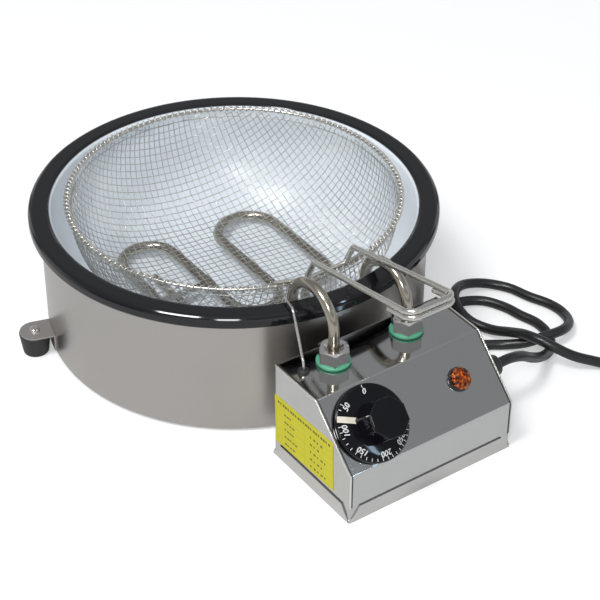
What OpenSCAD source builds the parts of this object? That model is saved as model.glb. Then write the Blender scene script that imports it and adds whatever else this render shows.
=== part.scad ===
// Table-top deep fryer: a round jacket on three feet carries an enamelled bowl. A control box with an
// immersion element hooks over the bowl's rim, and a wire basket with a handle stands on the element.
// Origin: on the jacket's axis, on the table. +Z is up and the control box is towards -Y. Millimetres.

/* [Jacket and base] */
// How far the bowl's rim reaches out beyond the jacket
rim_overhang = 9; // [6.5:0.5:12]
// Height of the jacket's top edge above the table
jacket_top = 113.7; // [105:0.1:130]
// Gap between the table and the jacket's lower edge
jacket_lift = 2; // [1.5:0.5:4]
// Thickness of the jacket's sheet
jacket_wall = 1; // [0.8:0.1:1.6]
// Width of the seat turned inwards at the jacket's top
seat_w = 3.5; // [2.5:0.5:3.5]
// Width of the flange turned inwards at the jacket's bottom
bottom_flange_w = 9; // [7:1:14]
// Diameter of the opening in the middle of the base plate
base_hole_d = 44; // [20:2:48]
// Number of vent holes in the base plate
vent_count = 10; // [6:1:16]
// Diameter of a vent hole in the base plate
vent_d = 14; // [8:1:18]

/* [Feet] */
// Directions of the three feet, in degrees from +X
foot_angles = [163.5, 53.5, -56.5];
// Height of a rubber foot
foot_h = 19; // [17:0.5:24]
// Diameter of a rubber foot at its top
foot_top_d = 25.6; // [22:0.2:28]
// Diameter of a rubber foot on the table
foot_bottom_d = 21; // [18:0.5:24]
// Thickness of a foot bracket's sheet
bracket_wall = 1.2; // [1:0.1:2]
// Diameter of a foot screw's head
foot_screw_head_d = 8; // [7:0.5:10]
// Diameter of a foot screw's shank
foot_screw_d = 4; // [3:0.5:5]

/* [Bowl] */
// Outer radius of the bowl's black rim
rim_r = 166; // [150:0.5:185]
// Width of the rim, from the bowl's mouth to the rim's outer edge
rim_w = 18.5; // [16.5:0.5:22]
// Height of the bowl's flat floor above the table
floor_z = 20; // [15:1:26]
// Radius of the sweep from the bowl's floor to its side
sweep_r = 88; // [60:1:100]
// Thickness of the enamelled sheet
bowl_wall = 1.2; // [0.8:0.1:1.5]
// Height of the rim's outer lip
rim_lip_h = 8; // [6:0.5:12]
// Radius of the rim's inner shoulder
rim_shoulder_r = 5; // [4:0.5:6]
// Radius of the rim's outer shoulder
rim_edge_r = 4.5; // [3:0.5:6]
// Radius of the curl under the rim's lip
curl_r = 2.4; // [2:0.2:3]

/* [Control box] */
// Width of the control box
box_w = 151.8; // [140:0.2:180]
// Depth of the control box
box_d = 96.5; // [90:0.5:120]
// Height of the control box
box_h = 84.9; // [80:0.1:110]
// Height of the upright front below the sloping panel
lip_h = 42.8; // [36:0.2:50]
// Depth of the level top behind the sloping panel
top_d = 52.4; // [46:0.2:60]
// Gap between the jacket and the control box
box_gap = 10.4; // [8:0.2:20]
// Thickness of the box's sheet
box_wall = 1; // [0.8:0.1:1.5]
// Radius of the box's folded edges
fold_r = 2.5; // [1.8:0.1:4]
// Height of the base tray's flanges
tray_h = 13; // [10:0.5:18]
// Length of the chamfer at the ends of a tray flange
tray_notch = 10; // [6:0.5:14]

/* [Element] */
// Diameter of the tubular element
tube_d = 8.5; // [6.5:0.1:8.5]
// Sideways places of the element's two legs
leg_x = [-38, 30];
// Heights of the two leg arches' centre lines above the bowl's rim
arch_rise = [21.8, 14.8];
// Distance of the legs behind the sloping panel's upper edge
leg_setback = 30; // [24:0.5:34]
// Gap between the bowl's mouth and the legs' centre line
leg_inset = 10.9; // [10.5:0.1:12]
// Height of the element's runs above the bowl's floor
run_rise = 15; // [12:0.5:18]
// Width of a fitting across its flats
fitting_af = 22; // [18:0.5:26]
// Height of a fitting's hexagon
fitting_h = 11; // [8:0.5:14]
// Thread diameter of a fitting
fitting_thread_d = 16; // [14:0.5:18]
// Outer diameter of a gasket
gasket_d = 30; // [26:0.5:34]
// Thickness of a gasket
gasket_t = 3; // [2:0.5:4]

/* [Thermostat and lamp] */
// Sideways place of the dial on the panel
dial_u = -42.5; // [-46:0.5:-30]
// Place of the dial up the panel's slope
dial_v = 29.7; // [27:0.1:32]
// Diameter of the dial's skirt
dial_d = 60; // [50:1:60]
// Height of the dial's skirt above the panel
skirt_h = 6; // [5:0.5:9]
// Height of the dial's finger grip above the skirt
grip_h = 13; // [9:0.5:18]
// Length of the dial's finger grip
grip_l = 46; // [36:1:50]
// Width of the dial's finger grip
grip_w = 25; // [14:1:30]
// Diameter of the thermostat's spindle
spindle_d = 6; // [5:0.5:8]
// Diameter of the sensor bulb
bulb_d = 6; // [4:0.5:6]
// Length of the sensor bulb
bulb_l = 86; // [60:1:100]
// Diameter of the capillary tube
capillary_d = 2; // [1.4:0.1:2.5]
// Sideways place of the lamp on the panel
lamp_u = 41.3; // [30:0.5:50]
// Place of the lamp up the panel's slope
lamp_v = 32.6; // [24:0.1:38]
// Outer diameter of the lamp's bezel
lamp_bezel_d = 19; // [16:0.5:22]
// Diameter of the lamp's body behind the panel
lamp_body_d = 13; // [10:0.5:14]

/* [Basket] */
// Gap between the bowl's mouth and the basket's upper ring
basket_gap = 11; // [10:0.5:18]
// Height of the basket's upper ring above the jacket's top edge
ring_rise = 5.5; // [4:0.5:10]
// Diameter of the ring wire
ring_wire_d = 3.6; // [3:0.2:4]
// Thickness of the woven wire cloth
mesh_t = 1.2; // [0.9:0.1:1.6]
// Diameter of the handle wire
handle_wire_d = 4.5; // [4:0.1:6]
// Height of the handle's uprights above the upper ring
handle_rise = 22; // [20:1:34]
// Length of the handle's bars
handle_l = 124; // [100:1:170]
// Angle at which the handle's bars rise outwards
handle_tilt = 13; // [8:1:20]
// Width between the handle's bars at the basket
handle_w = 36; // [30:1:44]
// Sideways place of the handle's middle
handle_x = -5; // [-8:0.5:0]

/* [Cord and plug] */
// Diameter of the cord
cord_d = 8.4; // [7:0.1:9]
// Diameter of the gland on the box's side
gland_d = 19; // [15:0.5:24]
// Length of the gland outside the box
gland_l = 18; // [14:0.5:26]
// Mean radius of the stored coil
coil_r = 46; // [42:1:60]
// Diameter of the plug's face
plug_d = 38; // [34:1:44]

/* [Hidden] */
$fn = 64;
fit = 0.3;       // running gap between pieces on different bodies
snug = 0.1;      // gap between pieces that are fixed to each other
eps = 0.01;
seam = 0.02;     // how much thinner the straight legs of a slanting bar are than its bends
arc_steps = 8;

// What nests in or under the rim takes its radius from the rim.
jacket_r = rim_r - rim_overhang;
well_r = rim_r - rim_w;
basket_r = well_r - basket_gap;

// Bowl profile: centres of its arcs, as radius and height. A sweep that is taller than the bowl's side
// meets the shoulder before it has turned upright.
rim_top = jacket_top + fit + bowl_wall;
side_h = rim_top - rim_shoulder_r - floor_z;
sweep_end = sweep_r > side_h ? acos(1 - side_h / sweep_r) : 90;
sweep_c = [well_r - sweep_r * sin(sweep_end), floor_z + sweep_r];
shoulder_c = [well_r + rim_shoulder_r, rim_top - rim_shoulder_r];
edge_c = [rim_r - rim_edge_r, rim_top - rim_edge_r];
curl_c = [rim_r - curl_r, rim_top - rim_lip_h];

// Control box: planes and the sloping panel's own frame.
box_back = -(jacket_r + box_gap);
box_front = box_back - box_d;
panel_top_y = box_back - top_d;
panel_angle = atan2(box_h - lip_h, box_front == panel_top_y ? 1 : panel_top_y - box_front);

// Element: where the legs stand and the runs lie. The two loops keep a named gap to the bowl's wall.
leg_out_y = panel_top_y + leg_setback;
leg_in_y = -(well_r - leg_inset);
arch_r = (leg_in_y - leg_out_y) / 2;
leg_top = [for (rise = arch_rise) rim_top + rise];
run_z = floor_z + run_rise;
leg_sweep_r = 68;
corner_r = [16, 20];
tube_end_z = box_h - 21;
fitting_z = box_h + gasket_t;
tube_r = tube_d / 2;
outer_run_x = [-70, 74];
inner_run_x = [-23, 20];
loop_gap = [4.1, 8.7];
loop_r = [for (i = [0, 1]) abs(outer_run_x[i] - inner_run_x[i]) / 2];
loop_x = [for (i = [0, 1]) (outer_run_x[i] + inner_run_x[i]) / 2];
run_room = sweep_c[0] + sqrt(sweep_r * sweep_r - pow(sweep_r - run_rise, 2)) - tube_r;
loop_top_y = [for (i = [0, 1]) let (reach = run_room - loop_gap[i] - loop_r[i])
    round(2 * (loop_r[i] + sqrt(reach * reach - loop_x[i] * loop_x[i]))) / 2];
cross_y = [for (i = [0, 1]) leg_in_y + leg_sweep_r + corner_r[i] + [0.6, 4.6][i]];
middle_y = cross_y[0] + 2;
element_path = [
    [leg_x[0], leg_out_y, tube_end_z], [leg_x[0], leg_out_y, leg_top[0]],
    [leg_x[0], leg_in_y, leg_top[0]], [leg_x[0], leg_in_y, run_z],
    [leg_x[0], cross_y[0], run_z], [outer_run_x[0], cross_y[0], run_z],
    [outer_run_x[0], loop_top_y[0], run_z], [inner_run_x[0], loop_top_y[0], run_z],
    [inner_run_x[0], middle_y, run_z], [inner_run_x[1], middle_y, run_z],
    [inner_run_x[1], loop_top_y[1], run_z], [outer_run_x[1], loop_top_y[1], run_z],
    [outer_run_x[1], cross_y[1], run_z], [leg_x[1], cross_y[1], run_z],
    [leg_x[1], leg_in_y, run_z], [leg_x[1], leg_in_y, leg_top[1]],
    [leg_x[1], leg_out_y, leg_top[1]], [leg_x[1], leg_out_y, tube_end_z]];
element_bends = [arch_r, arch_r, leg_sweep_r, corner_r[0], corner_r[0], loop_r[0], loop_r[0], 21, 21,
    loop_r[1], loop_r[1], corner_r[1], corner_r[1], leg_sweep_r, arch_r, arch_r];

// Sensor bulb and capillary.
bulb_x = -49;
bulb_z = run_z - tube_r - bulb_d / 2 - 1.6;
bulb_y = -34;
grommet_at = [-63, panel_top_y + 32.8];
capillary_r = capillary_d / 2;

// Basket dish: the centre and radius of its outer sweep, standing on the element.
mesh_r = basket_r - ring_wire_d / 2 - mesh_t / 2 - 1.2;
mesh_floor = run_z + tube_r + fit;
ring_z = jacket_top + ring_rise;
mesh_sweep = ring_z - 7 - mesh_floor;
mesh_c = [mesh_r - mesh_sweep, mesh_floor + mesh_sweep];

// Handle corners, in the handle's own plane.
handle_y = -(basket_r + 6.5);
handle_end_w = handle_w + 4;

// Cord: hand-set points on its centre line, from the gland to the coil.
gland_at = [box_w / 2, box_front + 38.9, 47];
lay = cord_d / 2;
cord_route = [gland_at + [gland_l, 0, 0], [106, -225, 47], [120.5, -223, 41.5], [136, -218, 30],
    [155, -209, 16.5], [172, -200, 8], [184.5, -189.5, lay], [192.5, -176, lay], [194.5, -160, lay],
    [190.5, -144.5, lay], [187, -128, lay], [178, -111, lay], [162, -101.5, lay], [146, -102, lay],
    [133, -109.5, lay], [125.5, -122, lay], [124.5, -138, lay], [133, -154, lay], [151, -167, lay],
    [165, -180, 8.5], [180.5, -187, 13], [198, -187.5, 12], [213.5, -179, 7.5], [222, -164, lay],
    [221.5, -147, lay], [214, -128, lay], [207.5, -107.5, lay], [192.5, -92.5, 6], [173, -89.5, 10.5],
    [157.5, -97, 13.5], [148, -111, 12.5], [147, -129.5, 8], [154.5, -148.5, 7], [160, -167.5, 13.5],
    [160, -184.5, 21.5], [165, -202, 22.5], [179.5, -219.5, 14], [198, -231, 6.5], [212, -248, lay],
    [216, -267, lay]];
coil_at = [262, -286];

// ---- helpers ----

// Points of an arc in the plane, from angle a0 to a1.
function arc(c, r, a0, a1, n = arc_steps) =
    [for (i = [0:n]) let (a = a0 + (a1 - a0) * i / n) [c[0] + r * cos(a), c[1] + r * sin(a)]];

// A polygon's corners, each rounded with its own radius.
function rounded(pts, radii, n = 5) = [for (i = [0:len(pts) - 1])
    let (p = pts[i], a = pts[(i + len(pts) - 1) % len(pts)], b = pts[(i + 1) % len(pts)],
        u = (a - p) / norm(a - p), v = (b - p) / norm(b - p), half = acos(u * v) / 2,
        r = radii[i], m = (u + v) / norm(u + v), c = p + m * r / sin(half),
        s = p + u * r / tan(half), e = p + v * r / tan(half),
        a0 = atan2(s[1] - c[1], s[0] - c[0]), a1 = atan2(e[1] - c[1], e[0] - c[0]),
        turn = a1 - a0 > 180 ? a1 - a0 - 360 : a1 - a0 < -180 ? a1 - a0 + 360 : a1 - a0)
    each (r == 0 ? [p] : arc(c, r, a0, a0 + turn, n))];

function unit(v) = v / norm(v);

// A round rod from a to b.
module rod(a, b, d) {
    v = b - a;
    translate(a) rotate([0, acos(v[2] / norm(v)), atan2(v[1], v[0])]) cylinder(h = norm(v), d = d);
}

// A round bar through pts: straight legs, joined by a circular bend at each inner point. On a slanting
// bar the legs are a hair thinner and run a little way into the bends, so that all the pieces join cleanly.
module bent_bar(pts, bends, d) {
    last = len(pts) - 1;
    dirs = [for (i = [0:last - 1]) unit(pts[i + 1] - pts[i])];
    turns = [for (i = [1:last - 1]) acos(min(1, max(-1, dirs[i - 1] * dirs[i])))];
    square_on = min([for (u = dirs) max(abs(u[0]), abs(u[1]), abs(u[2]))]) > 0.9999;
    lap = square_on ? 0 : 0.2;
    cuts = concat([0], [for (i = [0:last - 2]) bends[i] * tan(turns[i] / 2) - lap], [0]);
    for (i = [0:last - 1])
        if (norm(pts[i + 1] - pts[i]) - cuts[i] - cuts[i + 1] > 0.05)
            rod(pts[i] + dirs[i] * cuts[i], pts[i + 1] - dirs[i] * cuts[i + 1], square_on ? d : d - seam);
    for (i = [1:last - 1]) let (u = dirs[i - 1], w = unit(cross(u, dirs[i])), e = cross(u, w),
            c = pts[i] - u * (cuts[i] + lap) - e * bends[i - 1])
        multmatrix([[e[0], u[0], w[0], c[0]], [e[1], u[1], w[1], c[1]], [e[2], u[2], w[2], c[2]],
                [0, 0, 0, 1]])
            rotate_extrude(angle = turns[i - 1]) translate([bends[i - 1], 0]) circle(d = d, $fn = 32);
}

// A tube swept along a hand-set route, with rings that keep their side upwards.
module swept_tube(route, d, sides = 10) {
    last = len(route) - 1;
    rings = [for (i = [0:last]) let (t = unit(route[min(i + 1, last)] - route[max(i - 1, 0)]),
            side = unit(cross([0, 0, 1], t)), up = cross(t, side))
        for (k = [0:sides - 1]) route[i] + (side * cos(360 * k / sides) + up * sin(360 * k / sides)) * d / 2];
    walls = [for (i = [0:last - 1]) for (k = [0:sides - 1]) let (a = i * sides + k,
            b = i * sides + (k + 1) % sides) each [[a, a + sides, b + sides], [a, b + sides, b]]];
    polyhedron(rings, concat([[for (k = [0:sides - 1]) k]], walls,
        [[for (k = [sides - 1:-1:0]) last * sides + k]]));
}

// Where a point of the sloping panel's frame lies: u sideways, v up the slope, h out of it.
function panel_point(u, v, h) = [u, box_front + v * cos(panel_angle) - h * sin(panel_angle),
    lip_h + v * sin(panel_angle) + h * cos(panel_angle)];

// Places children on the sloping panel: x sideways, y up the slope, z out of it.
module on_panel(u = 0, v = 0, h = 0) {
    translate([0, box_front, lip_h]) rotate([panel_angle, 0, 0]) translate([u, v, h]) children();
}

module ring(r, d) { rotate_extrude($fn = 128) translate([r, 0]) circle(d = d, $fn = 32); }

module pan_screw(head_d, head_h, d, l) {
    rotate_extrude($fn = 32) polygon(concat([[0, head_h], [head_d * 0.3, head_h]],
        arc([head_d / 2 - head_h * 0.7, head_h * 0.3], head_h * 0.7, 80, 0, 4), [[head_d / 2, 0],
        [d / 2, 0], [d / 2, -l], [0, -l]]));
}

module hexagon(af, h) { cylinder(h = h, d = af / cos(30), $fn = 6); }

// ---- base ----

module jacket_shell() {
    r = jacket_r; w = jacket_wall; b = jacket_lift; t = jacket_top; top = w + 0.5; foot = w + 1;
    color("gainsboro") rotate_extrude($fn = 160) polygon(concat(
        [[r - bottom_flange_w, b]], arc([r - foot, b + foot], foot, -90, 0, 4),
        arc([r - top, t - top], top, 0, 90, 4), [[r - seat_w, t], [r - seat_w, t - w]],
        arc([r - top, t - top], top - w, 90, 0, 3), arc([r - foot, b + foot], foot - w, 0, -90, 4),
        [[r - bottom_flange_w, b + w]]));
}

base_screw_r = jacket_r - bottom_flange_w + 4;
base_screw_angles = [for (a = foot_angles) a + 30];
base_z = jacket_lift + jacket_wall;

module base_plate() {
    color("silver") difference() {
        translate([0, 0, base_z]) cylinder(h = jacket_wall, r = jacket_r - 3, $fn = 128);
        translate([0, 0, base_z - 1]) cylinder(h = jacket_wall + 2, d = base_hole_d);
        for (i = [0:vent_count - 1]) rotate(i * 360 / vent_count)
            translate([jacket_r * 0.62, 0, base_z - 1]) cylinder(h = jacket_wall + 2, d = vent_d);
        for (a = base_screw_angles) rotate(a)
            translate([base_screw_r, 0, base_z - 1]) cylinder(h = jacket_wall + 2, d = 3.2, $fn = 32);
    }
}

module base_screws() {
    color("lightgray") for (a = base_screw_angles) rotate(a)
        translate([base_screw_r, 0, base_z + jacket_wall]) pan_screw(6, 2, 3, jacket_wall - 0.2);
}

foot_r = jacket_r + bracket_wall + foot_top_d / 2 + fit;
tab_r = foot_top_d / 2 - 0.6;
foot_bottom_z = jacket_lift + 3;

module foot_brackets() {
    color("silver") for (a = foot_angles) rotate(a) difference() {
        union() {
            translate([0, 0, foot_h]) linear_extrude(bracket_wall) {
                translate([foot_r, 0]) circle(r = tab_r);
                translate([jacket_r - 2, -tab_r]) square([foot_r - jacket_r + 2, 2 * tab_r]);
            }
            translate([jacket_r - 2, -tab_r, foot_bottom_z])
                cube([bracket_wall + 6, 2 * tab_r, foot_h + bracket_wall - foot_bottom_z]);
        }
        cylinder(h = 2 * foot_h, r = jacket_r + snug, $fn = 160);
        difference() {
            translate([jacket_r - 2, -foot_top_d, 0]) cube([2 * foot_top_d, 2 * foot_top_d, foot_h]);
            cylinder(h = foot_h, r = jacket_r + snug + bracket_wall, $fn = 160);
        }
        translate([foot_r, 0, foot_h - 1])
            cylinder(h = bracket_wall + 2, d = foot_screw_d + 2 * snug, $fn = 32);
    }
}

module rubber_feet() {
    rt = foot_top_d / 2; rb = foot_bottom_d / 2; hole = foot_screw_d / 2 + snug;
    color([0.1, 0.1, 0.1]) for (a = foot_angles) rotate(a) translate([foot_r, 0, 0])
        rotate_extrude($fn = 48) polygon(concat([[hole, foot_h], [hole, 0]],
            arc([rb - 1.5, 1.5], 1.5, -90, 0, 4), arc([rt - 1, foot_h - 1], 1, 0, 90, 4)));
}

module foot_screws() {
    color("lightsteelblue") for (a = foot_angles) rotate(a)
        translate([foot_r, 0, foot_h + bracket_wall]) pan_screw(foot_screw_head_d, 2.6, foot_screw_d, 14);
}

// ---- bowl ----

// One side of the bowl's sheet; t is 0 on the inside and the wall on the outside.
function bowl_skin(t) = concat([[0, floor_z - t]],
    arc(sweep_c, sweep_r + t, -90, sweep_end - 90, 24),
    arc(shoulder_c, rim_shoulder_r - t, 180, 90, 6),
    arc(edge_c, rim_edge_r - t, 90, 0, 6),
    arc(curl_c, curl_r - t, 0, -170, 8));

function reversed(list) = [for (i = [len(list) - 1:-1:0]) list[i]];

module bowl() {
    color([0.2, 0.2, 0.22]) rotate_extrude($fn = 160)
        polygon(concat(bowl_skin(0), reversed(bowl_skin(bowl_wall))));
}

// ---- control box ----

// The box's folded form, drawn in from the outside by inset.
module box_form(inset, drop = 0) {
    r = fold_r - inset;
    yb = box_back - inset; yf = box_front + inset; zt = box_h - inset; x = box_w / 2 - inset;
    bevel = inset * tan(panel_angle / 2);
    zl = lip_h - inset * tan((90 - panel_angle) / 2); yp = panel_top_y - bevel;
    intersection() {
        translate([-x, 0, 0]) rotate([90, 0, 90]) linear_extrude(2 * x)
            polygon(rounded([[yb, -drop], [yf, -drop], [yf, zl], [yp, zt], [yb, zt]], [0, 0, r, r, r]));
        translate([0, 0, -drop]) linear_extrude(box_h + drop)
            polygon(rounded([[-x, yb], [-x, yf], [x, yf], [x, yb]], [r, r, r, r]));
    }
}

tray_t = 1;
tray_screw_x = box_w / 2 - 22;
tray_screw_z = tray_h / 2 + 0.5;

module box_shell() {
    color("lightgray") difference() {
        box_form(0);
        box_form(box_wall, 5);
        translate([-box_w, box_front - 5, -5]) cube([2 * box_w, box_d + 10, 5 + tray_t]);
        for (x = leg_x) translate([x, leg_out_y, box_h - 5]) cylinder(h = 10, d = fitting_thread_d + 2 * fit);
        translate([grommet_at[0], grommet_at[1], box_h - 5]) cylinder(h = 10, d = 6, $fn = 32);
        on_panel(dial_u, dial_v, -5) cylinder(h = 10, d = 10.4);
        for (s = [-1, 1]) on_panel(dial_u + s * thermostat_screw_x, dial_v, -5)
            cylinder(h = 10, d = 4.4, $fn = 32);
        on_panel(lamp_u, lamp_v, -5) cylinder(h = 10, d = lamp_body_d + 2 * snug);
        translate([gland_at[0] - 5, gland_at[1], gland_at[2]]) rotate([0, 90, 0])
            cylinder(h = 10, d = gland_thread_d + 2 * snug);
        for (s = [-1, 1]) translate([s * tray_screw_x, box_back + 5, tray_screw_z]) rotate([90, 0, 0])
            cylinder(h = 10, d = 3.4, $fn = 32);
    }
}

// A tray flange standing on the plate, with a chamfer at each end.
module tray_flange(l) {
    top = l / 2 - tray_notch * 0.9;
    rotate([90, 0, 0]) linear_extrude(tray_t)
        polygon([[-l / 2, 0], [l / 2, 0], [top, tray_h], [-top, tray_h]]);
}

module box_tray() {
    x = box_w / 2 + snug; yf = box_front - snug; yb = box_back + snug;
    ym = (yf + yb) / 2; inner_d = yb - yf;
    color("gainsboro") difference() {
        union() {
            translate([-x, yf, 0]) cube([2 * x, inner_d, tray_t]);
            translate([0, yf, 0]) tray_flange(2 * x);
            translate([0, yb + tray_t, 0]) tray_flange(2 * x);
            translate([-x, ym, 0]) rotate(-90) tray_flange(inner_d);
            translate([x, ym, 0]) rotate(90) tray_flange(inner_d);
        }
        for (s = [-1, 1]) translate([s * tray_screw_x, yb + 5, tray_screw_z]) rotate([90, 0, 0])
            cylinder(h = 10, d = 3.8, $fn = 32);
        translate(earth_at - [0, 0, 5]) cylinder(h = 10, d = 5.2, $fn = 32);
    }
}

module tray_screws() {
    color("lightsteelblue") for (s = [-1, 1])
        translate([s * tray_screw_x, box_back + snug + tray_t, tray_screw_z]) rotate([-90, 0, 0])
        pan_screw(6.4, 2.2, 3.2, 7);
}

// ---- element ----

module element_tube() {
    color([0.55, 0.53, 0.48]) bent_bar(element_path, element_bends, tube_d);
}

module element_fittings() {
    color([0.72, 0.7, 0.66]) for (x = leg_x) translate([x, leg_out_y, 0]) difference() {
        union() {
            intersection() {
                translate([0, 0, fitting_z]) hexagon(fitting_af, fitting_h);
                translate([0, 0, fitting_z]) rotate_extrude($fn = 64) polygon([[0, 0], [fitting_af, 0],
                    [fitting_af, fitting_h - 6], [fitting_af / 2 - 1, fitting_h], [0, fitting_h]]);
            }
            translate([0, 0, box_h - 13]) cylinder(h = 13 + gasket_t + eps, d = fitting_thread_d);
        }
        translate([0, 0, fitting_z + fitting_h - 3]) cylinder(h = 4, d1 = tube_d + 1, d2 = fitting_af - 5);
        translate([0, 0, box_h - 14]) cylinder(h = 40, d = tube_d + 2 * snug);
    }
}

module element_gaskets() {
    color([0.3, 0.6, 0.47]) for (x = leg_x) translate([x, leg_out_y, box_h])
        rotate_extrude($fn = 64) polygon(concat([[fitting_thread_d / 2 + snug, 0]],
            arc([gasket_d / 2 - gasket_t / 2, gasket_t / 2], gasket_t / 2, -90, 90, 6),
            [[fitting_thread_d / 2 + snug, gasket_t]]));
}

locknut_h = 5;

module element_locknuts() {
    color("silver") for (x = leg_x) translate([x, leg_out_y, box_h - box_wall - locknut_h]) difference() {
        hexagon(fitting_thread_d + 8, locknut_h);
        translate([0, 0, -1]) cylinder(h = locknut_h + 2, d = fitting_thread_d + 2 * snug);
    }
}

insulator_h = 6;
pin_d = 3;
pin_l = 14;
tab_l = 7;

module element_insulators() {
    color("white") for (x = leg_x) translate([x, leg_out_y, tube_end_z - insulator_h]) difference() {
        cylinder(h = insulator_h, d = tube_d - 1, $fn = 48);
        translate([0, 0, -1]) cylinder(h = insulator_h + 2, d = pin_d + 2 * snug, $fn = 32);
    }
}

// The terminal pins, each with a flat tab at its end.
module element_pins() {
    color("silver") for (x = leg_x) translate([x, leg_out_y, tube_end_z - pin_l]) {
        cylinder(h = pin_l, d = pin_d, $fn = 32);
        translate([-pin_d, -pin_d * 0.15, 1 - tab_l]) cube([2 * pin_d, pin_d * 0.3, tab_l]);
    }
}

// ---- thermostat ----

thermostat_screw_x = 14;
thermostat_body_h = 24;
thermostat_depth = thermostat_body_h + 4 + box_wall;

module thermostat_body() {
    color("ivory") on_panel(dial_u, dial_v, -box_wall) difference() {
        union() {
            translate([-19, -9, -1.5]) cube([38, 18, 1.5]);
            translate([0, 0, -thermostat_body_h]) linear_extrude(thermostat_body_h - 1.5)
                polygon(rounded([[-18, -14], [18, -14], [18, 14], [-18, 14]], [3, 3, 3, 3]));
            translate([0, 0, -thermostat_body_h - 4]) cylinder(h = 4, d = 24);
            cylinder(h = box_wall + 1, d = 10);
        }
        translate([0, 0, -12]) cylinder(h = 20, d = spindle_d + 2 * fit);
        for (s = [-1, 1]) translate([s * thermostat_screw_x, 0, -8]) cylinder(h = 10, d = 3.4, $fn = 32);
    }
}

module thermostat_screws() {
    color("lightsteelblue") for (s = [-1, 1]) on_panel(dial_u + s * thermostat_screw_x, dial_v, 0)
        pan_screw(6, 1.8, 3.2, 7);
}

// The capillary leaves the box by its grommet, crosses the rim and runs down the bowl to the bulb.
down_y = -sqrt(well_r * well_r - 46.5 * 46.5); // the bowl's wall where the tube goes down it
capillary_path = [
    panel_point(dial_u, dial_v, -thermostat_depth), panel_point(dial_u, dial_v, -thermostat_depth - 10),
    [grommet_at[0], grommet_at[1], box_h - 34], [grommet_at[0], grommet_at[1], box_h + 7],
    [-52, -jacket_r, rim_top + 4], [-48, 8 - well_r, rim_top + 4],
    [-46.5, round(2 * (down_y + 5.5)) / 2, rim_top - 15.2],
    [-46, round(2 * (down_y + 22)) / 2, run_z + 20], [bulb_x, bulb_y - 32, bulb_z], [bulb_x, bulb_y, bulb_z]];
capillary_bends = [6, 8, 9, 8, 8, 60, 40, 30];

module capillary_tube() {
    color([0.62, 0.58, 0.5]) bent_bar(capillary_path, capillary_bends, capillary_d);
}

module sensor_bulb() {
    color([0.7, 0.68, 0.62]) translate([bulb_x, bulb_y, bulb_z]) rotate([-90, 0, 0])
        rotate_extrude($fn = 32) polygon(concat([[0, 0], [capillary_r + 0.4, 0], [bulb_d / 2, 3]],
            arc([bulb_d / 2 - 2, bulb_l - 2], 2, 0, 90, 4), [[0, bulb_l]]));
}

clip_t = 1;
clip_w = 8;
clip_y = 12;

// A strip hooked under two runs of the element, with an eye that holds the bulb.
module bulb_bracket() {
    x0 = outer_run_x[0]; x1 = inner_run_x[0]; ri = tube_r + snug; ro = ri + clip_t; rb = bulb_d / 2 + snug;
    color("silver") translate([0, clip_y + clip_w / 2, 0]) rotate([90, 0, 0]) difference() {
        union() {
            linear_extrude(clip_w)
                polygon(concat(arc([x0, run_z], ri, 170, 270), arc([x1, run_z], ri, 270, 370),
                    arc([x1, run_z], ro, 370, 270), arc([x0, run_z], ro, 270, 170)));
            translate([bulb_x, bulb_z, 0]) cylinder(h = clip_w, r = rb + clip_t);
        }
        translate([bulb_x, bulb_z, -1]) cylinder(h = clip_w + 2, r = rb);
    }
}

module capillary_grommet() {
    color([0.12, 0.12, 0.12]) translate([grommet_at[0], grommet_at[1], box_h]) rotate_extrude($fn = 32)
        polygon([[capillary_r + snug, -3.5], [4.4, -3.5], [4.4, -box_wall - snug], [2.9, -box_wall - snug],
            [2.9, snug], [4.6, snug], [4.2, 1.4], [2.6, 2.2], [capillary_r + snug, 2.2]]);
}

// ---- lamp ----

module lamp_body() {
    color([0.15, 0.15, 0.15]) on_panel(lamp_u, lamp_v, 0) {
        translate([0, 0, -22]) cylinder(h = 22, d = lamp_body_d);
        for (s = [-1, 1]) translate([s * 3 - 0.4, -2.4, -30]) cube([0.8, 4.8, 9]);
    }
}

module lamp_bezel() {
    r = lamp_bezel_d / 2;
    color([0.12, 0.12, 0.12]) on_panel(lamp_u, lamp_v, 0) rotate_extrude($fn = 64)
        polygon([[r - 2.2, 0], [r, 0], [r, 1], [r - 0.6, 2.6], [r - 1.6, 2.6], [r - 2.2, 1.6]]);
}

module lamp_lens() {
    r = lamp_bezel_d / 2 - 2.2 - snug; rise = 3.4;
    dome_r = (r * r + rise * rise) / (2 * rise);
    color([0.85, 0.35, 0.05]) on_panel(lamp_u, lamp_v, 0) rotate_extrude($fn = 64)
        polygon(concat([[0, 0], [r, 0]],
            arc([0, 1.6 + rise - dome_r], dome_r, asin((dome_r - rise) / dome_r), 90, 8)));
}

// ---- wiring inside the box ----

block_at = [12, box_back - 32, tray_t];
block_size = [34, 18, 16];
block_way = [for (i = [-1:1]) i * 10];

module terminal_block() {
    color("white") difference() {
        translate(block_at - [block_size[0] / 2, block_size[1] / 2, 0]) cube(block_size);
        for (x = block_way) {
            translate(block_at + [x, 15, 6]) rotate([90, 0, 0]) cylinder(h = 30, d = 5, $fn = 32);
            for (s = [-1, 1]) translate(block_at + [x, s * 5, 6]) cylinder(h = 20, d = 3.6, $fn = 32);
        }
    }
}

module terminal_screws() {
    color("silver") for (x = block_way) for (s = [-1, 1])
        translate(block_at + [x, s * 5, 8.8]) cylinder(h = 5, d = 3.4, $fn = 24);
}

wire_d = 2.6;

// A wire from one way of the block: out, up to height via, across, and up to the point to.
module wire(from, via, to) {
    out = from[1] - 12;
    bent_bar([from, [from[0], out, from[2]], [from[0], out, via], [to[0], out, via], [to[0], to[1], via], to],
        [4, 4, 4, 4], wire_d);
}

block_front = block_at + [0, -block_size[1] / 2 + 4, 6];
pin_end_z = tube_end_z - pin_l + 1 - tab_l - snug;

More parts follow.
